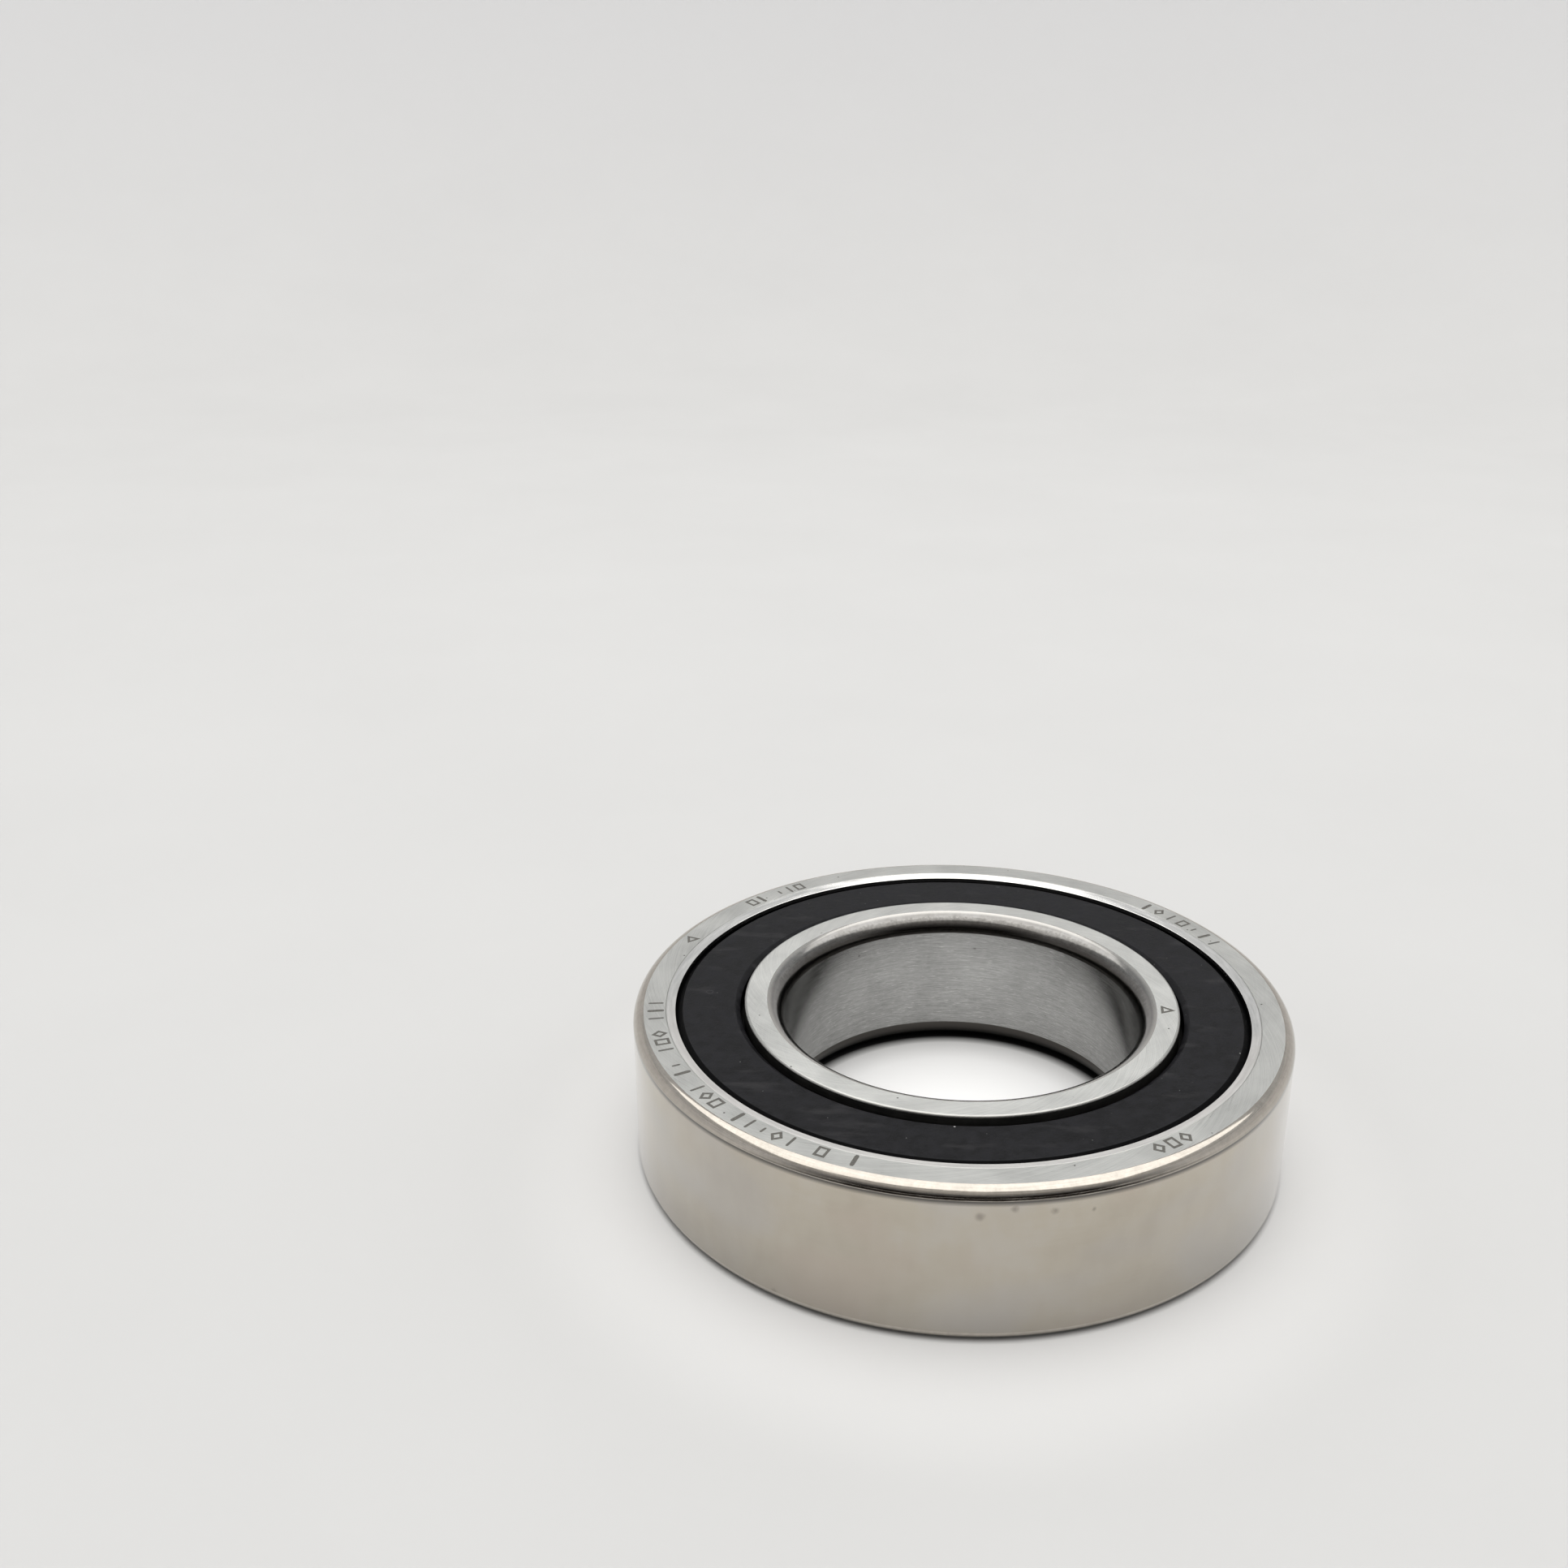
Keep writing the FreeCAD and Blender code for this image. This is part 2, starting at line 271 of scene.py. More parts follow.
class Shader:
    """A node material being built around one Principled shader."""

    def __init__(self, name, **uniform):
        self.material = bpy.data.materials.new(name)
        self.material.use_nodes = True
        self.tree = self.material.node_tree
        self.shader = self.tree.nodes["Principled BSDF"]
        for key, value in uniform.items():
            self.shader.inputs[key.replace("_", " ")].default_value = value
        coordinates = self.node("TexCoord").outputs["Object"]
        self.mm = self.node("VectorMath", {0: coordinates, "Scale": 1 / MM}, operation="SCALE").outputs[0]

    def node(self, kind, inputs=None, **settings):
        """A new node. An input's value is a socket to link from, or a constant."""
        made = self.tree.nodes.new("ShaderNode" + kind)
        for key, value in settings.items():
            setattr(made, key, value)
        for key, value in (inputs or {}).items():
            if isinstance(value, bpy.types.NodeSocket):
                self.tree.links.new(value, made.inputs[key])
            else:
                made.inputs[key].default_value = value
        return made

    def connect(self, **sockets):
        """Links sockets to the shader's inputs and returns the material."""
        for key, socket in sockets.items():
            self.tree.links.new(socket, self.shader.inputs[key.replace("_", " ")])
        return self.material

    def maths(self, operation, first, second=0.0):
        """One Math node's value."""
        return self.node("Math", {0: first, 1: second}, operation=operation).outputs[0]

    def stretched(self, scale):
        """Coordinates multiplied axis by axis."""
        return self.node("VectorMath", {0: self.mm, 1: scale}, operation="MULTIPLY").outputs[0]

    def noise(self, vector, scale=1.0, detail=3.0, roughness=0.55):
        """Noise between 0 and 1."""
        inputs = {"Vector": vector, "Scale": scale, "Detail": detail, "Roughness": roughness}
        return self.node("TexNoise", inputs).outputs["Fac"]

    def spread(self, value, low, high, to_low=0.0, to_high=1.0):
        """A value's range stretched to another range and clamped."""
        inputs = {"Value": value, "From Min": low, "From Max": high, "To Min": to_low, "To Max": to_high}
        return self.node("MapRange", inputs).outputs[0]

    def ramp(self, value, *stops):
        """Colour from (position, (r, g, b)) stops."""
        made = self.node("ValToRGB", {"Fac": value})
        elements = made.color_ramp.elements
        while len(elements) < len(stops):
            elements.new(0.5)
        for element, (position, colour) in zip(elements, stops):
            element.position = position
            element.color = (*colour, 1)
        return made.outputs["Color"]

    def mix(self, share, first, second):
        """Blend of two colours."""
        made = self.node("MixRGB", {"Fac": share, "Color1": first, "Color2": second})
        return made.outputs["Color"]

    def bump(self, height, depth_um, normal=None):
        """Relief of a given depth in micrometres."""
        inputs = {"Height": height, "Distance": depth_um * 1e-6, "Strength": 1.0}
        if normal is not None:
            inputs["Normal"] = normal
        return self.node("Bump", inputs).outputs["Normal"]

    def swirl(self, twist, fineness, fade=0.35):
        """Straight grinding lines that cross a ring's face, slanted by twist (radians per mm)."""
        flat = self.stretched((1, 1, 0))
        radius = self.node("VectorMath", {0: flat}, operation="LENGTH").outputs["Value"]
        around = self.node("VectorMath", {0: flat}, operation="NORMALIZE").outputs[0]
        angle = self.maths("MULTIPLY", radius, twist)
        turned = self.node("VectorRotate", {"Vector": around, "Angle": angle}, rotation_type="Z_AXIS")
        lines = self.node("VectorMath", {0: turned.outputs[0], "Scale": fineness}, operation="SCALE")
        drift = self.node("CombineXYZ", {"Z": self.maths("MULTIPLY", radius, fade)}).outputs[0]
        return self.node("VectorMath", {0: lines.outputs[0], 1: drift}, operation="ADD").outputs[0]

    def specks(self, scale, chance_from, size):
        """Mask of scattered round specks: cells per mm, the share left empty, largest radius in cells."""
        cells = self.node("TexVoronoi", {"Vector": self.mm, "Scale": scale})
        chance = self.node("SeparateColor", {0: cells.outputs["Color"]}).outputs[0]
        radius = self.spread(chance, chance_from, 1.0, 0.0, size)
        return self.maths("LESS_THAN", cells.outputs["Distance"], radius)

    def spot(self, centre, radius):
        """Mask of a soft irregular spot round a point in mm."""
        ragged = self.noise(self.mm, scale=2.2)
        away = self.node("VectorMath", {0: self.mm, 1: centre}, operation="DISTANCE").outputs["Value"]
        shape = self.maths("ADD", away, self.maths("MULTIPLY", ragged, radius))
        return self.spread(shape, 0.7 * radius, 1.5 * radius, 1.0, 0.0)


def ground_face(name, bright):
    """Ground ring faces: slanted crossing lines, faint cloudiness, small dark pits."""
    made = Shader(name, Metallic=1.0)
    fine = made.noise(made.swirl(0.16, 190), detail=4)
    coarse = made.noise(made.swirl(0.11, 70, 0.15), detail=3)
    crossing = made.noise(made.swirl(-0.15, 130), detail=3)
    cloud = made.noise(made.mm, scale=0.22, detail=4)
    grain = made.maths("ADD", made.maths("MULTIPLY", fine, 0.6), made.maths("MULTIPLY", coarse, 0.2))
    grain = made.maths("ADD", grain, made.maths("MULTIPLY", crossing, 0.2))
    tone = made.maths("ADD", made.maths("MULTIPLY", grain, 0.7), made.maths("MULTIPLY", cloud, 0.3))
    dark, middle, light = ([part * bright * share for part in (1, 1, 0.96)] for share in (0.78, 1, 1.18))
    steel = made.ramp(tone, (0.37, dark), (0.5, middle), (0.63, light))
    cells = made.node("TexVoronoi", {"Vector": made.mm, "Scale": 0.55})
    pit = made.spread(cells.outputs["Distance"], 0.035, 0.055, 1.0, 0.0)
    colour = made.mix(pit, steel, (0.08, 0.075, 0.07, 1))
    roughness = made.spread(tone, 0.3, 0.7, 0.25, 0.38)
    return made.connect(Base_Color=colour, Roughness=roughness, Normal=made.bump(grain, 5))


def shaded_land():
    """Seal land and the step beside it: steel painted near black as shade in the gap under the seal's lip,
    with lines round the axis.
    """
    made = Shader("shaded_land", Metallic=0.1, Specular_IOR_Level=0.05)
    lines = made.noise(made.stretched((0.3, 0.3, 9)), detail=3)
    painted_shade = made.noise(made.mm, scale=0.8, detail=4)
    tone = made.maths("ADD", made.maths("MULTIPLY", lines, 0.5), made.maths("MULTIPLY", painted_shade, 0.5))
    # Painted shade: near-black steel in the gap under the seal.
    colour = made.ramp(tone, (0.35, (0.008, 0.008, 0.008)), (0.65, (0.022, 0.0215, 0.020)))
    roughness = made.spread(tone, 0.3, 0.7, 0.35, 0.55)
    return made.connect(Base_Color=colour, Roughness=roughness, Normal=made.bump(lines, 4))


def ground_bore():
    """Bore wall: fine lines round the axis with a slight cross hatch and a few scratches."""
    made = Shader("ground_bore", Metallic=1.0)
    round_lines = made.noise(made.stretched((0.5, 0.5, 20)), detail=4, roughness=0.6)
    dashes = made.noise(made.stretched((1.6, 1.6, 13)), detail=4)
    cloud = made.noise(made.mm, scale=0.3, detail=3)
    grain = made.maths("ADD", made.maths("MULTIPLY", round_lines, 0.65), made.maths("MULTIPLY", dashes, 0.35))
    tone = made.maths("ADD", made.maths("MULTIPLY", grain, 0.8), made.maths("MULTIPLY", cloud, 0.2))
    dark, middle, light = ([part * share for part in (1, 1, 0.98)] for share in (0.215, 0.293, 0.38))
    steel = made.ramp(tone, (0.38, dark), (0.5, middle), (0.62, light))
    scratches = made.noise(made.stretched((1.3, 1.3, 24)), detail=2)
    colour = made.mix(made.spread(scratches, 0.62, 0.70, 0.0, 0.65), steel, (0.60, 0.60, 0.58, 1))
    nicks = made.noise(made.stretched((1.3, 1.3, 1.6)), detail=2)
    colour = made.mix(made.spread(nicks, 0.76, 0.80, 0.0, 0.7), colour, (0.07, 0.065, 0.06, 1))
    roughness = made.spread(tone, 0.35, 0.65, 0.14, 0.26)
    return made.connect(Base_Color=colour, Roughness=roughness, Normal=made.bump(grain, 7))


def polished_outside():
    """Fine-finished outside diameter: warm steel under a clear oil coat, faint clouds and a few small stains.

    Painted shade darkens it towards the lower face, and a painted dark reflection lies in a band below the
    upper chamfer.
    """
    made = Shader("polished_outside", Metallic=1.0, Coat_Weight=0.9, Coat_Roughness=0.12)
    cloud = made.noise(made.stretched((0.12, 0.12, 0.2)), detail=3)
    haze = made.noise(made.stretched((0.6, 0.6, 0.25)), detail=4)
    lines = made.noise(made.stretched((0.4, 0.4, 22)), detail=3)
    tone = made.maths("ADD", made.maths("MULTIPLY", cloud, 0.55), made.maths("MULTIPLY", haze, 0.30))
    tone = made.maths("ADD", tone, made.maths("MULTIPLY", lines, 0.15))
    dark, middle, light = (0.52, 0.468, 0.385), (0.57, 0.517, 0.430), (0.60, 0.557, 0.49)
    steel = made.ramp(tone, (0.38, dark), (0.5, middle), (0.62, light))
    tint = made.noise(made.stretched((0.07, 0.07, 0.12)), detail=2)
    steel = made.mix(made.spread(tint, 0.52, 0.66, 0.0, 0.35), steel, (0.515, 0.503, 0.507, 1))
    steel = made.mix(made.spread(tint, 0.46, 0.34, 0.0, 0.45), steel, (0.56, 0.475, 0.40, 1))
    stains = None
    for azimuth, height, radius in OUTSIDE_STAINS:
        spot = made.spot(turned_to(OUTSIDE_R, math.radians(azimuth), height), radius)
        stains = spot if stains is None else made.maths("MAXIMUM", stains, spot)
    colour = made.mix(made.maths("MULTIPLY", stains, 0.55), steel, (0.20, 0.17, 0.145, 1))
    height = made.node("SeparateXYZ", {0: made.mm}).outputs["Z"]
    # Painted shade: darker towards the lower face.
    painted_shade = made.spread(height, 0, WIDTH, 0.56, 0.0)
    colour = made.mix(painted_shade, colour, (0.20, 0.19, 0.175, 1))
    # Painted dark reflection: a dark band just below the upper chamfer.
    edge = WIDTH - OUTSIDE_CHAMFER
    painted_dark_reflection = made.spread(height, edge - DARK_REFLECTION_START, edge - DARK_REFLECTION_FULL, 0.0, 0.92)
    colour = made.mix(painted_dark_reflection, colour, (0.07, 0.065, 0.06, 1))
    roughness = made.spread(tone, 0.3, 0.7, 0.17, 0.25)
    return made.connect(Base_Color=colour, Roughness=roughness, Normal=made.bump(tone, 3))


def turned_chamfer(name, warm, rough):
    """Turned and tumbled chamfer with lines round the axis, cross streaks and fine mottling."""
    made = Shader(name, Metallic=1.0)
    lines = made.noise(made.stretched((0.25, 0.25, 15)), detail=4)
    mottle = made.noise(made.mm, scale=3.2, detail=4, roughness=0.6)
    tumbled = made.noise(made.stretched((1.6, 1.6, 0.35)), detail=4, roughness=0.6)
    tone = made.maths("ADD", made.maths("MULTIPLY", lines, 0.45), made.maths("MULTIPLY", mottle, 0.25))
    tone = made.maths("ADD", tone, made.maths("MULTIPLY", tumbled, 0.3))
    steel = made.ramp(tone, (0.38, [0.84 * part for part in warm]), (0.62, [1.09 * part for part in warm]))
    made.connect(Roughness=made.spread(tone, 0.36, 0.64, *rough), Normal=made.bump(lines, 4))
    made.connect(Base_Color=steel)
    return made, steel, mottle


def outside_chamfer():
    """Polished chamfer of the outer ring."""
    return turned_chamfer("outside_chamfer", (0.50, 0.462, 0.412), (0.05, 0.13))[0].material


def bore_chamfer():
    """Chamfer of the bore: bright along the face from wear and a painted highlight, and dark further in from
    heat-treatment scale and a painted dark reflection.
    """
    made, steel, mottle = turned_chamfer("bore_chamfer", (0.265, 0.258, 0.247), (0.10, 0.20))
    patches = made.noise(made.stretched((0.45, 0.45, 0.9)), detail=5, roughness=0.65)
    colour = made.mix(made.spread(patches, 0.48, 0.66, 0.0, 0.15), steel, (0.46, 0.465, 0.48, 1))
    height = made.node("SeparateXYZ", {0: made.mm}).outputs["Z"]
    from_middle = made.maths("ABSOLUTE", made.maths("SUBTRACT", height, WIDTH / 2))
    unevenness = made.maths("MULTIPLY", made.maths("SUBTRACT", mottle, 0.5), 0.5)
    level = made.maths("ADD", from_middle, unevenness)
    # Darker further in: heat-treatment scale with a painted dark reflection.
    deep = made.spread(level, WIDTH / 2 - TINT_AND_REFLECTION_FULL, WIDTH / 2 - TINT_AND_REFLECTION_START, 1.0, 0.0)
    tint_and_dark_reflection = made.maths("POWER", deep, 0.6)
    colour = made.mix(tint_and_dark_reflection, colour, (0.070, 0.065, 0.060, 1))
    # Brighter along the face: wear with a painted highlight.
    wear_and_highlight = made.spread(from_middle, WIDTH / 2 - WEAR_AND_HIGHLIGHT_END, WIDTH / 2 - WEAR_AND_HIGHLIGHT_FULL, 0.0, 0.7)
    colour = made.mix(wear_and_highlight, colour, (0.66, 0.64, 0.60, 1))
    return made.connect(Base_Color=colour)


def fine_turned(name, bright, relief_um):
    """Raceways, seal grooves and the bevel beside a seal: finely finished, with lines round the axis."""
    made = Shader(name, Metallic=1.0)
    lines = made.noise(made.stretched((0.3, 0.3, 12)), detail=3)
    dark, light = ([part * bright * share for part in (1, 0.985, 0.955)] for share in (0.9, 1.1))
    steel = made.ramp(lines, (0.35, dark), (0.65, light))
    roughness = made.spread(lines, 0.3, 0.7, 0.08, 0.16)
    return made.connect(Base_Color=steel, Roughness=roughness, Normal=made.bump(lines, relief_um))


def seal_rubber():
    """Moulded nitrile rubber: charcoal, finely grained, with mould pips, dust and faint smears."""
    made = Shader("seal_rubber", Specular_IOR_Level=0.12)
    grain = made.noise(made.mm, scale=5, detail=4, roughness=0.65)
    mottle = made.noise(made.mm, scale=0.9, detail=6, roughness=0.65)
    rubber = made.ramp(mottle, (0.40, (0.0040, 0.0040, 0.0050)), (0.60, (0.0115, 0.0115, 0.0137)))
    smear = made.noise(made.stretched((0.25, 0.9, 1)), scale=0.7, detail=4)
    rubber = made.mix(made.spread(smear, 0.58, 0.72, 0.0, 0.5), rubber, (0.035, 0.034, 0.036, 1))
    dust = made.maths("MAXIMUM", made.specks(0.62, 0.60, 0.060), made.specks(1.7, 0.50, 0.055))
    colour = made.mix(made.maths("MULTIPLY", dust, 0.5), rubber, (0.62, 0.62, 0.61, 1))
    cells = made.node("TexVoronoi", {"Vector": made.mm, "Scale": PIP_CELLS})
    chance = made.node("SeparateColor", {0: cells.outputs["Color"]}).outputs[0]
    from_rim = made.maths("ABSOLUTE", made.maths("SUBTRACT", cells.outputs["Distance"], PIP_CELLS * PIP_R))
    rim = made.spread(from_rim, 0, 0.027, 1, 0)
    pips = made.maths("MULTIPLY", rim, made.spread(chance, 0.55, 0.60))
    colour = made.mix(made.maths("MULTIPLY", pips, 0.3), colour, (0.06, 0.06, 0.065, 1))
    roughness = made.spread(mottle, 0.35, 0.65, 0.40, 0.60)
    relief = made.bump(grain, 14, made.bump(mottle, 30))
    relief = made.bump(pips, 25, relief)
    return made.connect(Base_Color=colour, Roughness=roughness, Normal=relief)


def seal_edge():
    """The seal's outer bevel and its sides: smoother than its face, and painted blacker than it as shade in
    the gap beside the ring.
    """
    made = Shader("seal_edge", Specular_IOR_Level=0.04)
    grain = made.noise(made.mm, scale=6, detail=3)
    # Painted shade: the bevel's rubber is blacker than the face's.
    rubber = made.ramp(grain, (0.35, (0.0015, 0.0015, 0.0018)), (0.65, (0.0035, 0.0035, 0.004)))
    roughness = made.spread(grain, 0.3, 0.7, 0.45, 0.6)
    return made.connect(Base_Color=rubber, Roughness=roughness, Normal=made.bump(grain, 4))


def etched_mark():
    """Acid-etched marking: dark, dull and slightly uneven."""
    made = Shader("etched_mark", Metallic=0.6)
    grain = made.noise(made.mm, scale=8, detail=3)
    colour = made.ramp(grain, (0.35, (0.075, 0.072, 0.066)), (0.65, (0.19, 0.183, 0.165)))
    roughness = made.spread(grain, 0.3, 0.7, 0.5, 0.7)
    return made.connect(Base_Color=colour, Roughness=roughness, Normal=made.bump(grain, 8))


def cage_phenolic():
    """Fabric-reinforced phenolic resin: brown, with the weave showing through."""
    made = Shader("cage_phenolic")
    cloth = made.noise(made.mm, scale=0.9, detail=3)
    warp = made.node("TexWave", {"Vector": made.mm, "Scale": 1.6, "Distortion": 1.2}, bands_direction="X")
    weft = made.node("TexWave", {"Vector": made.mm, "Scale": 1.6, "Distortion": 1.2}, bands_direction="Z")
    weave = made.maths("MULTIPLY", warp.outputs["Fac"], weft.outputs["Fac"])
    tone = made.maths("ADD", made.maths("MULTIPLY", weave, 0.55), made.maths("MULTIPLY", cloth, 0.45))
    browns = (0.2, (0.16, 0.070, 0.028)), (0.5, (0.27, 0.125, 0.050)), (0.8, (0.40, 0.21, 0.095))
    resin = made.ramp(tone, *browns)
    roughness = made.spread(tone, 0.2, 0.8, 0.36, 0.55)
    return made.connect(Base_Color=resin, Roughness=roughness, Normal=made.bump(weave, 12))


def ball_ceramic():
    """Lapped silicon nitride: near black, with a faint marbling."""
    made = Shader("ball_ceramic", Specular_IOR_Level=0.65)
    marble = made.noise(made.mm, scale=1.4, detail=5, roughness=0.65)
    colour = made.ramp(marble, (0.35, (0.014, 0.014, 0.016)), (0.65, (0.040, 0.041, 0.045)))
    roughness = made.spread(marble, 0.3, 0.7, 0.045, 0.09)
    return made.connect(Base_Color=colour, Roughness=roughness, Normal=made.bump(marble, 0.5))


def insert_steel():
    """Pressed sheet steel: dull grey with rolling lines and phosphate mottling."""
    made = Shader("insert_steel", Metallic=1.0)
    rolling = made.noise(made.stretched((9, 0.5, 0.5)), detail=3)
    mottle = made.noise(made.mm, scale=2.5, detail=4)
    tone = made.maths("ADD", made.maths("MULTIPLY", rolling, 0.5), made.maths("MULTIPLY", mottle, 0.5))
    steel = made.ramp(tone, (0.35, (0.30, 0.30, 0.30)), (0.65, (0.46, 0.46, 0.45)))
    roughness = made.spread(tone, 0.3, 0.7, 0.35, 0.5)
    return made.connect(Base_Color=steel, Roughness=roughness, Normal=made.bump(tone, 5))


def pale_floor():
    """Matt white table and backdrop in one sweep, with a painted pool of light close to the bearing.

    The ring that the bearing covers is painted black, as its shadow, and the floor in its bore glows.
    """
    made = Shader("pale_floor", Roughness=0.8, Specular_IOR_Level=0.1)
    paper = made.noise(made.mm, scale=0.02, detail=3)
    colour = made.ramp(paper, (0.3, (0.59, 0.59, 0.588)), (0.7, (0.605, 0.605, 0.603)))
    height = made.node("SeparateXYZ", {0: made.mm}).outputs["Z"]
    colour = made.mix(made.spread(height, 0, 150, 0, 1), colour, (0.595, 0.597, 0.606, 1))
    # Painted light: a lighter pool of floor round the bearing.
    around = made.node("VectorMath", {0: made.mm, 1: LIGHT_POOL_MIDDLE}, operation="DISTANCE").outputs["Value"]
    light_pool_range = {0: around, 1: LIGHT_POOL_FULL_R, 2: LIGHT_POOL_END_R, 3: 1.0, 4: 0.0}
    near = made.node("MapRange", light_pool_range, interpolation_type="SMOOTHERSTEP").outputs[0]
    colour = made.mix(near, colour, (0.80, 0.80, 0.80, 1))
    away = made.node("VectorMath", {0: made.mm}, operation="LENGTH").outputs["Value"]
    # Painted shadow: black on the ring of floor under the bearing.
    painted_contact_shadow = made.maths(
        "MULTIPLY",
        made.spread(away, BORE_R - 0.7, BORE_R + 0.5),
        made.spread(away, OUTSIDE_R - 1.0, OUTSIDE_R + 0.2, 1, 0),
    )
    colour = made.mix(painted_contact_shadow, colour, (0.01, 0.01, 0.01, 1))
    glow = made.spread(away, BORE_R - 3.5, BORE_R - 0.2, 0.17, 0.0)
    made.shader.inputs["Emission Color"].default_value = (1, 1, 0.99, 1)
    return made.connect(Base_Color=colour, Emission_Strength=glow)


def dark_card():
    """Dull dark cloth that thins out towards its upper and side edges."""
    made = Shader("dark_card", Roughness=0.9, Specular_IOR_Level=0.0)
    cloth = made.noise(made.mm, scale=0.05)
    height = made.node("SeparateXYZ", {0: made.mm}).outputs["Z"]
    flat = made.node("VectorMath", {0: made.stretched((1, 1, 0))}, operation="NORMALIZE").outputs[0]
    middle = (math.cos(CARD_AZIMUTH), math.sin(CARD_AZIMUTH), 0)
    turned = made.node("VectorMath", {0: flat, 1: middle}, operation="DOT_PRODUCT").outputs["Value"]
    sides = made.spread(turned, math.cos(CARD_HALF_ANGLE), math.cos(CARD_HALF_ANGLE / 2))
    dense = made.maths("MULTIPLY", made.spread(height, 110, 450, 1.0, 0.04), sides)
    colour = made.ramp(cloth, (0.3, (0.012, 0.010, 0.009)), (0.7, (0.02, 0.017, 0.015)))
    return made.connect(Base_Color=colour, Alpha=dense)


MATERIALS = {
    "face": ground_face("outer_ground_face", 0.64),
    "inner_face": ground_face("inner_ground_face", 0.77),
    # inner_land_edge is a darker copy of the ground face: painted shade on the land's edge and in the outer
    # ring's scribed line.
    "land_edge": ground_face("inner_land_edge", 0.45),
    "bore": ground_bore(),
    "outside": polished_outside(),
    "outside_chamfer": outside_chamfer(),
    "bore_chamfer": bore_chamfer(),
    # The lip bevel's steel is brighter than the raceways': a painted highlight.
    "lip": fine_turned("seal_lip_bevel", 0.86, 0.2),
    "land": shaded_land(),
    "race": fine_turned("lapped_race", 0.56, 2),
    "rubber": seal_rubber(),
    "rubber_edge": seal_edge(),
    "etched": etched_mark(),
    "phenolic": cage_phenolic(),
    "ceramic": ball_ceramic(),
    "insert": insert_steel(),
    "floor": pale_floor(),
    "dark_card": dark_card(),
}


# ---------------------------------------------------------------- the bearing


def groove_centre(groove_r, side):
    """Centre of a raceway's circle, set back along the contact line: side 1 outer, -1 inner."""
    set_back = side * (groove_r - BALL_R - RACE_CLEARANCE)
    return BALL_CENTRE - set_back * Vector((math.cos(CONTACT_ANGLE), math.sin(CONTACT_ANGLE)))


def groove_edge(centre, groove_r, shoulder_r, up):
    """Point where a raceway runs out at a shoulder."""
    rise = math.sqrt(groove_r**2 - (shoulder_r - centre.x) ** 2)
    return Vector((shoulder_r, centre.y + up * rise))


def outer_ring():
    """Outer ring with its two-part bevels beside the seals."""
    centre = groove_centre(OUTER_GROOVE_R, 1)
    chamfer_r = OUTSIDE_R - OUTSIDE_CHAMFER
    seat = [
        (FACE_INNER_R - LINE_WIDTH / 2, LINE_DEPTH, "land_edge"),
        (FACE_INNER_R - LINE_WIDTH, LINE_INNER_DEPTH, "land_edge"),
        (LIP_CREASE_R, LIP_CREASE_DEPTH, "lip"),
        (LIP_R, LIP_TOP_DEPTH, "lip"),
        (LIP_R, LIP_BOTTOM_DEPTH, "lip"),
        (SEAL_GROOVE_R, SEAL_GROOVE_TOP_DEPTH, "race"),
        (SEAL_GROOVE_R, SEAL_LEDGE_DEPTH, "race"),
    ]
    section = Section()
    section.line(at_face(chamfer_r, 0, -1), "face")
    section.chamfer(at_face(OUTSIDE_R, OUTSIDE_CHAMFER, -1), at_face(OUTSIDE_R, 0, -1), "outside_chamfer")
    section.line(at_face(OUTSIDE_R, OUTSIDE_CHAMFER, 1), "outside")
    section.chamfer(at_face(chamfer_r, 0, 1), at_face(OUTSIDE_R, 0, 1), "outside_chamfer")
    section.line(at_face(FACE_INNER_R, 0, 1), "face")
    for radius, depth, finish in seat:
        section.line(at_face(radius, depth, 1), finish)
    section.line(at_face(OUTER_SHOULDER_R + EDGE_BREAK, SEAL_LEDGE_DEPTH, 1), "race")
    section.line(at_face(OUTER_SHOULDER_R, SEAL_LEDGE_DEPTH + EDGE_BREAK, 1), "race")
    section.line(groove_edge(centre, OUTER_GROOVE_R, OUTER_SHOULDER_R, 1), "race")
    groove_end = groove_edge(centre, OUTER_GROOVE_R, COUNTERBORE_R, -1)
    section.arc(centre + Vector((OUTER_GROOVE_R, 0)), groove_end, "race")
    section.line(at_face(COUNTERBORE_R, SEAL_LEDGE_DEPTH, -1), "race")
    section.line(at_face(SEAL_GROOVE_R, SEAL_LEDGE_DEPTH, -1), "race")
    section.line(at_face(SEAL_GROOVE_R, SEAL_GROOVE_TOP_DEPTH, -1), "race")
    section.line(at_face(LIP_R, LIP_BOTTOM_DEPTH, -1), "race")
    section.line(at_face(LIP_R, LIP_TOP_DEPTH, -1), "lip")
    section.line(at_face(LIP_CREASE_R, LIP_CREASE_DEPTH, -1), "lip")
    section.line(at_face(FACE_INNER_R, 0, -1), "lip")
    return lathe("outer_ring_fine", section)


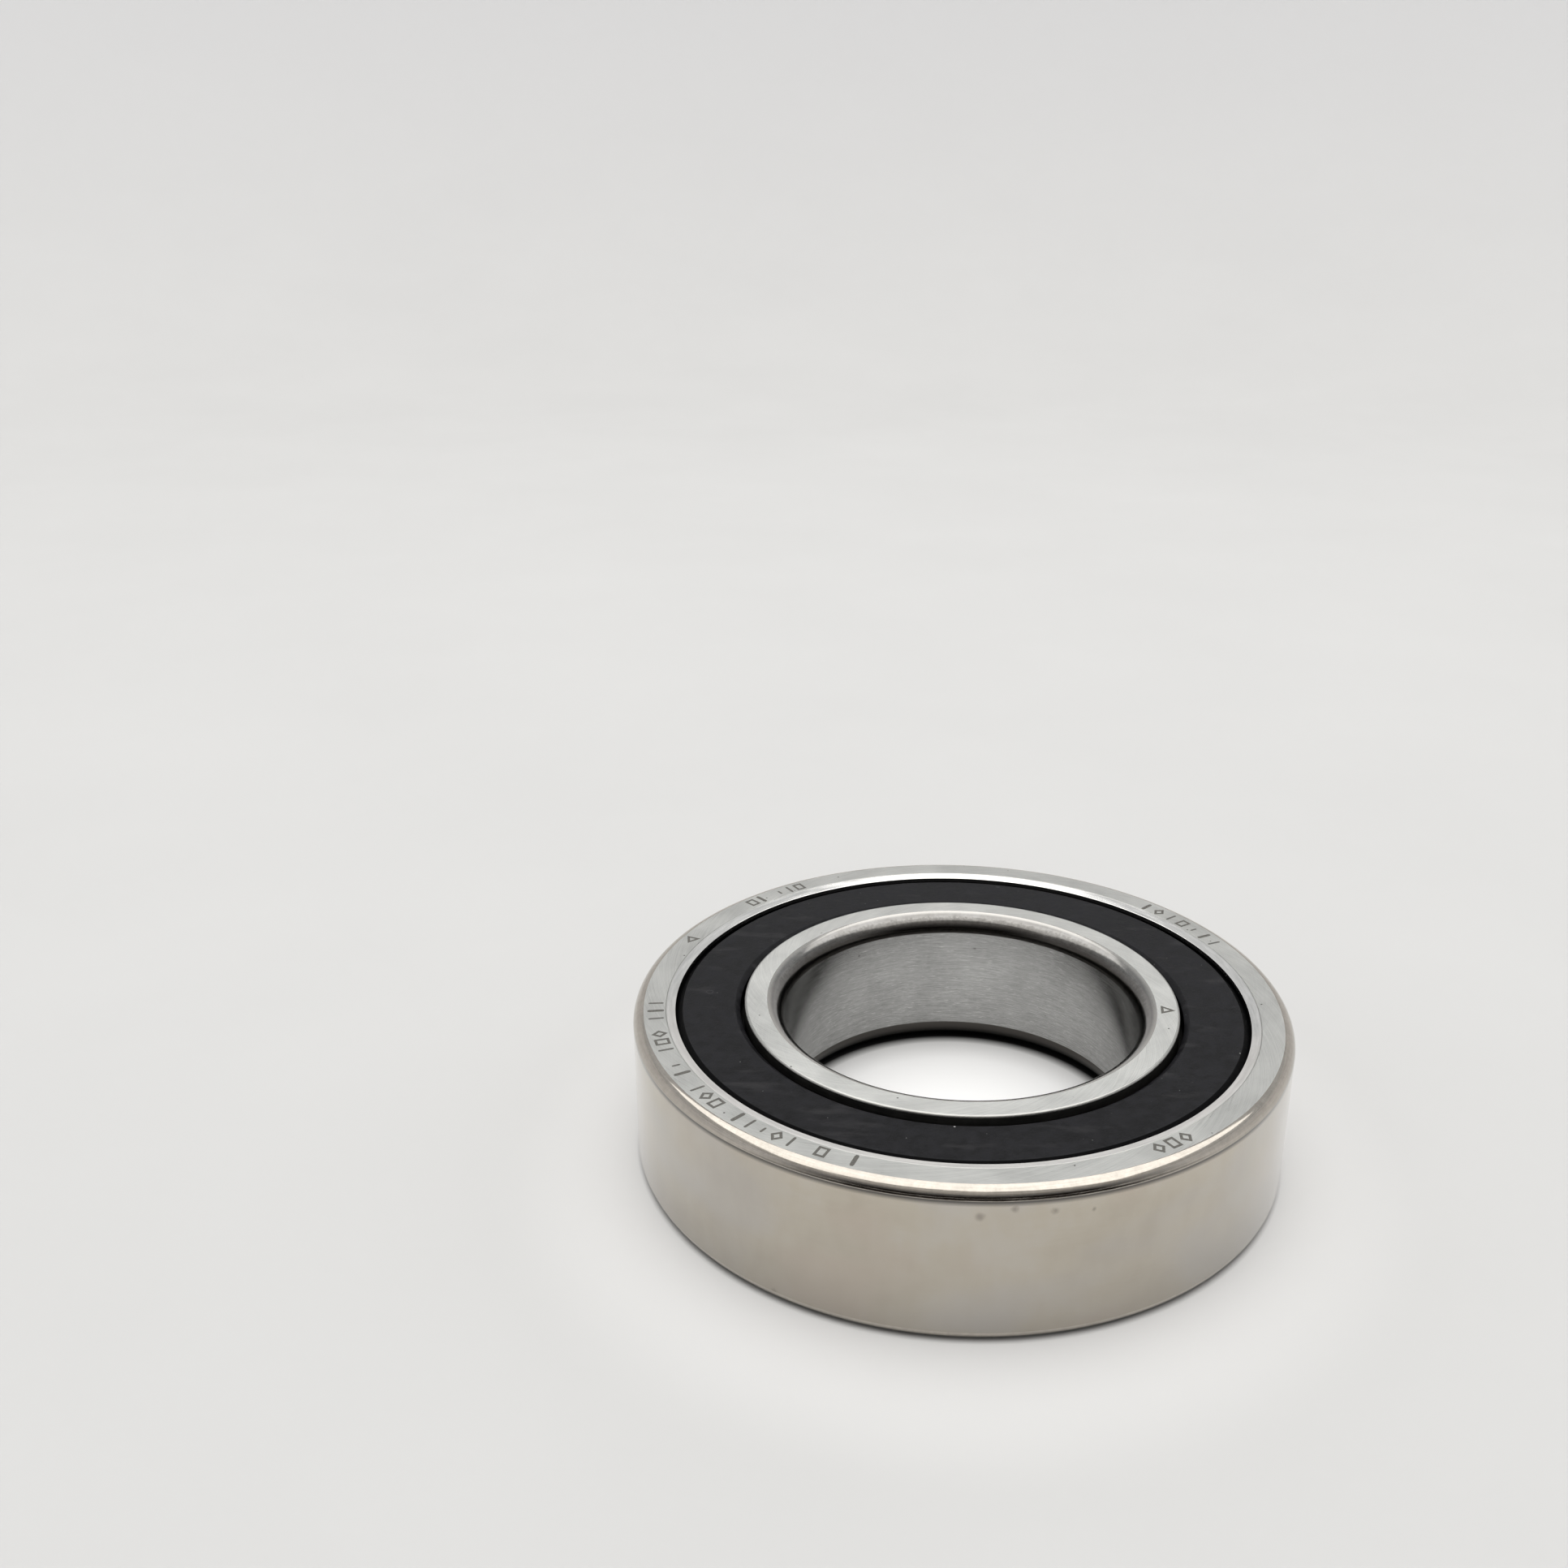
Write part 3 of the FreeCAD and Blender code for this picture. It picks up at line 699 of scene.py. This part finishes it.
def inner_ring():
    """Inner ring with its large rounded bore chamfers."""
    centre = groove_centre(INNER_GROOVE_R, -1)
    chamfer_r = BORE_R + BORE_CHAMFER_RADIAL
    section = Section()
    section.line(at_face(SEAL_LAND_R - LAND_EDGE, 0, -1), "inner_face")
    section.chamfer(at_face(SEAL_LAND_R, LAND_EDGE, -1), at_face(SEAL_LAND_R, 0, -1), "land_edge")
    section.line(at_face(SEAL_LAND_R, SEAL_LAND_DEPTH, -1), "land")
    section.line(at_face(INNER_SHOULDER_R - EDGE_BREAK, SEAL_LAND_DEPTH, -1), "land")
    section.line(at_face(INNER_SHOULDER_R, SEAL_LAND_DEPTH + EDGE_BREAK, -1), "land")
    section.line(groove_edge(centre, INNER_GROOVE_R, INNER_SHOULDER_R, -1), "race")
    groove_end = groove_edge(centre, INNER_GROOVE_R, INNER_SHOULDER_R, 1)
    section.arc(centre - Vector((INNER_GROOVE_R, 0)), groove_end, "race")
    section.line(at_face(INNER_SHOULDER_R, SEAL_LAND_DEPTH + EDGE_BREAK, 1), "race")
    section.line(at_face(INNER_SHOULDER_R - EDGE_BREAK, SEAL_LAND_DEPTH, 1), "land")
    section.line(at_face(SEAL_LAND_R, SEAL_LAND_DEPTH, 1), "land")
    section.line(at_face(SEAL_LAND_R, LAND_EDGE, 1), "land")
    section.chamfer(at_face(SEAL_LAND_R - LAND_EDGE, 0, 1), at_face(SEAL_LAND_R, 0, 1), "land_edge")
    section.line(at_face(chamfer_r, 0, 1), "inner_face")
    section.chamfer(at_face(BORE_R, BORE_CHAMFER_UPPER, 1), at_face(BORE_R, 0, 1), "bore_chamfer")
    section.line(at_face(BORE_R, BORE_CHAMFER_LOWER, -1), "bore")
    section.chamfer(at_face(chamfer_r, 0, -1), at_face(BORE_R, 0, -1), "bore_chamfer")
    return lathe("inner_ring_fine", section)


def seal(name, side):
    """Rubber of one seal, wrapped round the edges of its steel insert."""
    insert_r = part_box(f"{name}_seal_insert")[1].x / MM
    flat_bottom = INSERT_TOP_DEPTH + SHEET
    rim_bottom = flat_bottom + SHEET
    jog_end_r = INSERT_JOG_START_R + INSERT_JOG_RUN
    face = [
        (SEAL_FLAT_INNER_R, SEAL_FACE_DEPTH),
        (SEAL_FLAT_OUTER_R, SEAL_FACE_DEPTH),
    ]
    sides = [
        (SEAL_BEVEL_END_R, SEAL_BEVEL_END_DEPTH),
        (SEAL_GROOVE_R, SEAL_BEAD_TOP_DEPTH),
        (SEAL_GROOVE_R, SEAL_LEDGE_DEPTH),
        (SEAL_BEAD_FOOT_R, SEAL_LEDGE_DEPTH),
        (SEAL_BEAD_TAPER_R, rim_bottom),
        (jog_end_r, rim_bottom),
        (insert_r, rim_bottom),
        (insert_r, flat_bottom),
        (jog_end_r + EDGE_BREAK, flat_bottom),
        (INSERT_JOG_START_R + EDGE_BREAK, INSERT_TOP_DEPTH),
        (INSERT_INNER_R, INSERT_TOP_DEPTH),
        (INSERT_INNER_R, rim_bottom),
        (SEAL_LIP_R + EDGE_BREAK, rim_bottom),
        (SEAL_LIP_R, rim_bottom - EDGE_BREAK),
        (SEAL_LIP_R, SEAL_LIP_TOP_DEPTH),
    ]
    section = Section()
    for radius, depth in face:
        section.line(at_face(radius, depth, side), "rubber", edge=RUBBER_EDGE)
    for radius, depth in sides:
        section.line(at_face(radius, depth, side), "rubber_edge")
    return lathe(f"{name}_seal_rubber_fine", section)


outer = outer_ring()
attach(outer, "outer")
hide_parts("outer_ring")

inner = inner_ring()
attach(inner, "inner")
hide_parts("inner_ring")

for name, side in (("upper", 1), ("lower", -1)):
    rubber = seal(name, side)
    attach(rubber, "outer")
    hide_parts(f"{name}_seal_rubber")

for node, made in frame["nodes"].items():
    finish = "ceramic" if node.startswith("ball") else "phenolic" if node == "cage" else "insert"
    if not made.hide_render:
        made.data.materials.clear()
        made.data.materials.append(MATERIALS[finish])


# ---------------------------------------------------------------- marks on the faces

STROKE = 0.22
WIDE_STROKE = 0.34
FINE_STROKE = 0.2
TIP_SHARE = 0.6
TICK_HALF = 0.52
SHORT_TICK_HALF = 0.24
PROUD = 0.005
SUNK = 0.012


def stroke(vertices, faces, start, end, width):
    """Adds a thin raised bar with narrowed tips from start to end, both (x, y) on the upper face."""
    along = (end - start).normalized()
    across = Vector((-along.y, along.x)) * width / 2
    tip = along * width / 2
    ring = [
        start - across * TIP_SHARE - tip,
        start + across * TIP_SHARE - tip,
        start + across,
        end + across,
        end + across * TIP_SHARE + tip,
        end - across * TIP_SHARE + tip,
        end - across,
        start - across,
    ]
    first = len(vertices)
    count = len(ring)
    for height in (WIDTH - SUNK, WIDTH + PROUD):
        vertices += [(corner.x, corner.y, height) for corner in ring]
    faces.append(tuple(first + step for step in reversed(range(count))))
    faces.append(tuple(first + count + step for step in range(count)))
    for step in range(count):
        after = (step + 1) % count
        faces.append((first + step, first + after, first + count + after, first + count + step))


def moved_out(corners, distance):
    """Corners (x, y) of a convex outline after its sides have moved outwards by a distance."""
    made = []
    for number, here in enumerate(corners):
        back = (corners[number - 1] - here).normalized()
        ahead = (corners[(number + 1) % len(corners)] - here).normalized()
        inwards = (back + ahead).normalized()
        made.append(here - inwards * distance / abs(back.cross(inwards)))
    return made


def on_face(radius, azimuth, forward, sideways, turn=0):
    """Point (x, y) near a place on a face. Forward is outwards, turned by turn degrees."""
    out = Vector((math.cos(math.radians(azimuth)), math.sin(math.radians(azimuth))))
    heading = Matrix.Rotation(math.radians(turn), 2) @ out
    return out * radius + heading * forward + Vector((-heading.y, heading.x)) * sideways


def polygon_mark(vertices, faces, radius, azimuth, corners, turn=0):
    """Raised line round an outline whose corners are (forward, sideways)."""
    places = [on_face(radius, azimuth, forward, sideways, turn) for forward, sideways in corners]
    first = len(vertices)
    count = len(places)
    for height in (WIDTH - SUNK, WIDTH + PROUD):
        for distance in (STROKE / 2, -STROKE / 2):
            vertices += [(corner.x, corner.y, height) for corner in moved_out(places, distance)]
    low_outer, low_inner, high_outer, high_inner = (first + count * ring for ring in range(4))
    bands = [
        (low_outer, high_outer),
        (high_outer, high_inner),
        (high_inner, low_inner),
        (low_inner, low_outer),
    ]
    for start, end in bands:
        for step in range(count):
            after = (step + 1) % count
            faces.append((start + step, start + after, end + after, end + step))


# Outlines of the signs, as (forward, sideways)
TRIANGLE = [(0.5, 0), (-0.36, 0.48), (-0.36, -0.48)]
LOZENGE = [(0.5, 0), (0, 0.4), (-0.5, 0), (0, -0.4)]
BLOCK = [(0.5, 0.36), (0.5, -0.36), (-0.5, -0.36), (-0.5, 0.36)]


def tick(vertices, faces, radius, azimuth, half=TICK_HALF, width=STROKE):
    """Short line across the face."""
    ends = on_face(radius, azimuth, -half, 0), on_face(radius, azimuth, half, 0)
    stroke(vertices, faces, *ends, width)


def index_row(vertices, faces, radius, start, step, pattern):
    """Row of generic index signs: i tick, w wide tick, s short tick, o lozenge, b block, space a gap."""
    for number, sign in enumerate(pattern):
        azimuth = start + step * number
        if sign == "i":
            tick(vertices, faces, radius, azimuth)
        if sign == "w":
            tick(vertices, faces, radius, azimuth, width=WIDE_STROKE)
        if sign == "s":
            tick(vertices, faces, radius, azimuth, half=SHORT_TICK_HALF, width=FINE_STROKE)
        if sign == "o":
            polygon_mark(vertices, faces, radius, azimuth, LOZENGE)
        if sign == "b":
            polygon_mark(vertices, faces, radius, azimuth, BLOCK)


def outer_marks():
    """Marks on the outer ring's upper face: four index rows and the runout triangle."""
    vertices, faces = [], []
    index_row(vertices, faces, radius=25.62, start=188.5, step=2.85, pattern="iwi obi sw iob wisoi b w")
    index_row(vertices, faces, radius=25.70, start=128.5, step=2.5, pattern="bis wb")
    index_row(vertices, faces, radius=25.60, start=28.0, step=3.3, pattern="iwsbiow")
    index_row(vertices, faces, radius=25.60, start=304.8, step=2.9, pattern="obo")
    polygon_mark(vertices, faces, radius=25.70, azimuth=161.8, corners=TRIANGLE, turn=90)
    return mesh_object("outer_ring_marks", vertices, faces, ["etched"])


def inner_marks():
    """The runout triangle on the inner ring's upper face."""
    vertices, faces = [], []
    polygon_mark(vertices, faces, radius=17.15, azimuth=357.4, corners=TRIANGLE)
    return mesh_object("inner_ring_mark", vertices, faces, ["etched"])


for marks, body in ((outer_marks(), "outer"), (inner_marks(), "inner")):
    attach(marks, body)


# ---------------------------------------------------------------- studio

CAMERA_MM = Vector((0, -120.1, 79.3))
CAMERA_YAW = -0.0814
CAMERA_PITCH = 0.3829
CAMERA_ROLL = -0.0082
LENS = 36.89
SENSOR = 36.0
SHIFT = (-0.0401, 0.0078)
CLIP_M = (0.005, 20)

SWEEP_FLOOR_R = 400.0
SWEEP_WALL_R = 800.0
SWEEP_WALL_TOP = 420.0
SWEEP_BEND_STEPS = 24
SWEEP_TURN_STEPS = 96

CARD_R = 500.0
CARD_TOP = 1400.0
CARD_STEPS = 24
# The cloth's outline from near the bearing outwards and up, as (share of its radius, height)
CARD_PROFILE = ((0.122, 0.4), (0.4, 0.5), (1.0, 0.6), (1.0, CARD_TOP))

CEILING_SIZE_M = (1.5, 1.1)
CEILING_AT_M = (0, 0.10, 0.76)
CEILING_POWER = 7.5


def add_camera():
    """Camera above and in front, looking slightly down."""
    data = bpy.data.cameras.new("camera")
    data.sensor_width = SENSOR
    data.lens = LENS
    data.shift_x, data.shift_y = SHIFT
    data.clip_start, data.clip_end = CLIP_M
    made = bpy.data.objects.new("camera", data)
    bpy.context.scene.collection.objects.link(made)
    bpy.context.scene.camera = made
    yaw, pitch, roll = CAMERA_YAW, CAMERA_PITCH, CAMERA_ROLL
    forward = Vector((math.sin(yaw) * math.cos(pitch), math.cos(yaw) * math.cos(pitch), -math.sin(pitch)))
    level = Vector((math.cos(yaw), -math.sin(yaw), 0))
    down = forward.cross(level)
    right = math.cos(roll) * level + math.sin(roll) * down
    up = math.sin(roll) * level - math.cos(roll) * down
    axes = Matrix((right, up, -forward)).transposed().to_4x4()
    made.matrix_world = Matrix.Translation(CAMERA_MM * MM) @ axes


def add_sweep():
    """Round studio floor that curves up into a wall on every side."""
    bend = SWEEP_WALL_R - SWEEP_FLOOR_R
    profile = [(radius, 0.0) for radius in (1, 60, 200, SWEEP_FLOOR_R)]
    for step in range(1, SWEEP_BEND_STEPS + 1):
        angle = math.pi / 2 * step / SWEEP_BEND_STEPS
        profile.append((SWEEP_FLOOR_R + bend * math.sin(angle), bend * (1 - math.cos(angle))))
    profile.append((SWEEP_WALL_R, SWEEP_WALL_TOP))
    vertices = []
    for step in range(SWEEP_TURN_STEPS):
        angle = 2 * math.pi * step / SWEEP_TURN_STEPS
        vertices += [turned_to(radius, angle, height) for radius, height in profile]
    faces = [tuple(step * len(profile) for step in range(SWEEP_TURN_STEPS))]
    for step in range(SWEEP_TURN_STEPS):
        here, after = step * len(profile), (step + 1) % SWEEP_TURN_STEPS * len(profile)
        for low in range(len(profile) - 1):
            faces.append((here + low, after + low, after + low + 1, here + low + 1))
    mesh_object("studio_sweep", vertices, faces, ["floor"])


def add_card():
    """Tall curved dark cloth behind the camera, seen only in reflections."""
    vertices = []
    for step in range(CARD_STEPS + 1):
        angle = CARD_AZIMUTH + CARD_HALF_ANGLE * (2 * step / CARD_STEPS - 1)
        vertices += [turned_to(share * CARD_R, angle, height) for share, height in CARD_PROFILE]
    faces = []
    rows = len(CARD_PROFILE)
    for step in range(CARD_STEPS):
        for low in range(rows - 1):
            here = rows * step + low
            faces.append((here, here + rows, here + rows + 1, here + 1))
    card = mesh_object("dark_card", vertices, faces, ["dark_card"])
    card.visible_camera = False
    card.visible_diffuse = False
    card.visible_shadow = False


def add_ceiling_light():
    """Large rectangular soft light overhead."""
    data = bpy.data.lights.new("ceiling_light", "AREA")
    data.shape = "RECTANGLE"
    data.size, data.size_y = CEILING_SIZE_M
    data.energy = CEILING_POWER
    data.color = (1.0, 0.985, 0.96)
    made = bpy.data.objects.new("ceiling_light", data)
    bpy.context.scene.collection.objects.link(made)
    made.location = CEILING_AT_M


def add_world():
    """Sky over the sweep: brightest overhead, warmer on the camera's side."""
    world = bpy.data.worlds.new("soft_sky")
    bpy.context.scene.world = world
    world.use_nodes = True
    tree = world.node_tree
    background = tree.nodes["Background"]
    direction = tree.nodes.new("ShaderNodeTexCoord")
    axes = tree.nodes.new("ShaderNodeSeparateXYZ")
    tree.links.new(direction.outputs["Generated"], axes.inputs[0])
    warmth = tree.nodes.new("ShaderNodeMapRange")
    tree.links.new(axes.outputs["Y"], warmth.inputs["Value"])
    warmth.inputs["From Min"].default_value = -0.8
    warmth.inputs["From Max"].default_value = 0.4
    colour = tree.nodes.new("ShaderNodeValToRGB")
    colour.color_ramp.elements[0].color = (1.0, 0.975, 0.94, 1)
    colour.color_ramp.elements[1].color = (0.975, 0.99, 1.0, 1)
    tree.links.new(warmth.outputs[0], colour.inputs["Fac"])
    tree.links.new(colour.outputs["Color"], background.inputs["Color"])
    strength = tree.nodes.new("ShaderNodeMapRange")
    tree.links.new(axes.outputs["Z"], strength.inputs["Value"])
    strength.inputs["From Min"].default_value = 0.4
    strength.inputs["From Max"].default_value = 0.95
    strength.inputs["To Min"].default_value = 0.55
    strength.inputs["To Max"].default_value = 0.7
    tree.links.new(strength.outputs[0], background.inputs["Strength"])


add_camera()
add_sweep()
add_card()
add_world()
add_ceiling_light()
bpy.context.scene.view_settings.view_transform = "Standard"
